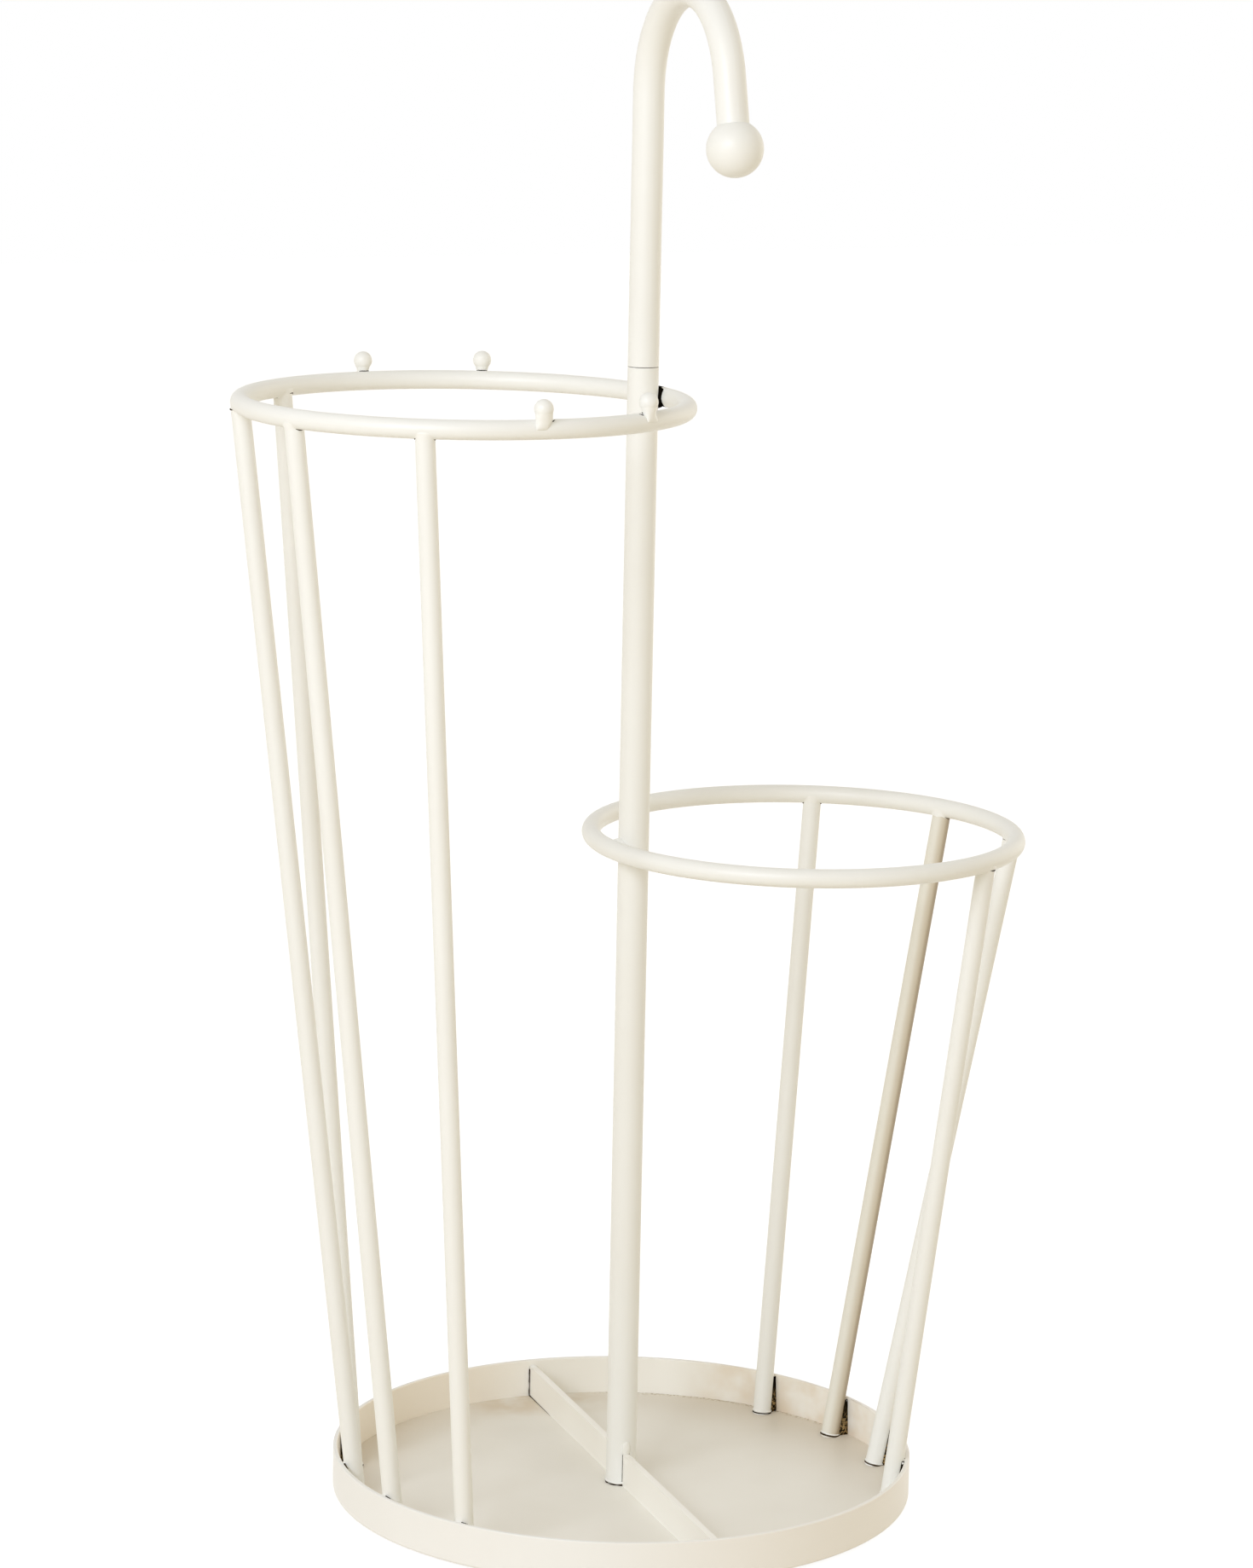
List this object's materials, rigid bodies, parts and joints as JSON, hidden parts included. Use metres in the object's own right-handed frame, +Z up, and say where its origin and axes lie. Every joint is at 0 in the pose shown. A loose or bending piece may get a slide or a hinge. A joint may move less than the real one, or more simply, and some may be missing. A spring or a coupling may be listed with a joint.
{
  "type": "umbrella stand",
  "caption": "Round drip tray with a divider, a central post ending in a hooked handle, and a tall and a short wire basket for long and folding umbrellas.",
  "frame": {"origin": "middle of the base on the surface the stand rests on, under the axis of the centre post", "axes": "+Z up along the centre post, +X towards the short basket, -Y towards the side the hooked handle points to"},
  "size_m": [0.3528, 0.25, 0.65],
  "materials": {
    "floor_paint": "satin",
    "tray_paint": "gloss",
    "frame_paint": "gloss",
    "rod_paint": "gloss",
    "handle_paint": "gloss",
    "bare_steel": "zinc plated",
    "bare_weld": "matte",
    "pad_rubber": "matte"
  },
  "bodies": {
    "stand": {"floor_pads": "pad_rubber", "tray_floor": "floor_paint", "tray_rim": "tray_paint", "divider_bar": "tray_paint", "centre_post": "frame_paint", "post_plug": "bare_steel", "tall_ring": "frame_paint", "tall_rod_1": "rod_paint", "tall_rod_2": "rod_paint", "tall_rod_3": "rod_paint", "tall_rod_4": "rod_paint", "short_ring": "frame_paint", "short_rod_1": "rod_paint", "short_rod_2": "rod_paint", "short_rod_3": "rod_paint", "short_rod_4": "rod_paint", "peg_1": "handle_paint", "peg_2": "handle_paint", "peg_3": "handle_paint", "peg_4": "handle_paint", "tall_ring_weld": "bare_weld", "short_ring_weld": "frame_paint"},
    "stud": {"handle_stud": "bare_steel"},
    "handle": {"handle_plug": "bare_steel", "handle_tube": "handle_paint", "handle_ball": "handle_paint"}
  },
  "joints": [
    {"name": "stud_rise", "type": "slide", "parent": "stand", "child": "stud", "axis": [0, 0, 1], "range_m": [0, 0.0116]},
    {"name": "handle_turn", "type": "hinge", "parent": "stud", "child": "handle", "pos_m": [0, 0, 0.488], "axis": [0, 0, 1], "range_deg": [0, 4140]}
  ],
  "couplings": [
    {"joint": "stud_rise", "follows": "handle_turn", "m_per_rad": 0.00015915}
  ]
}
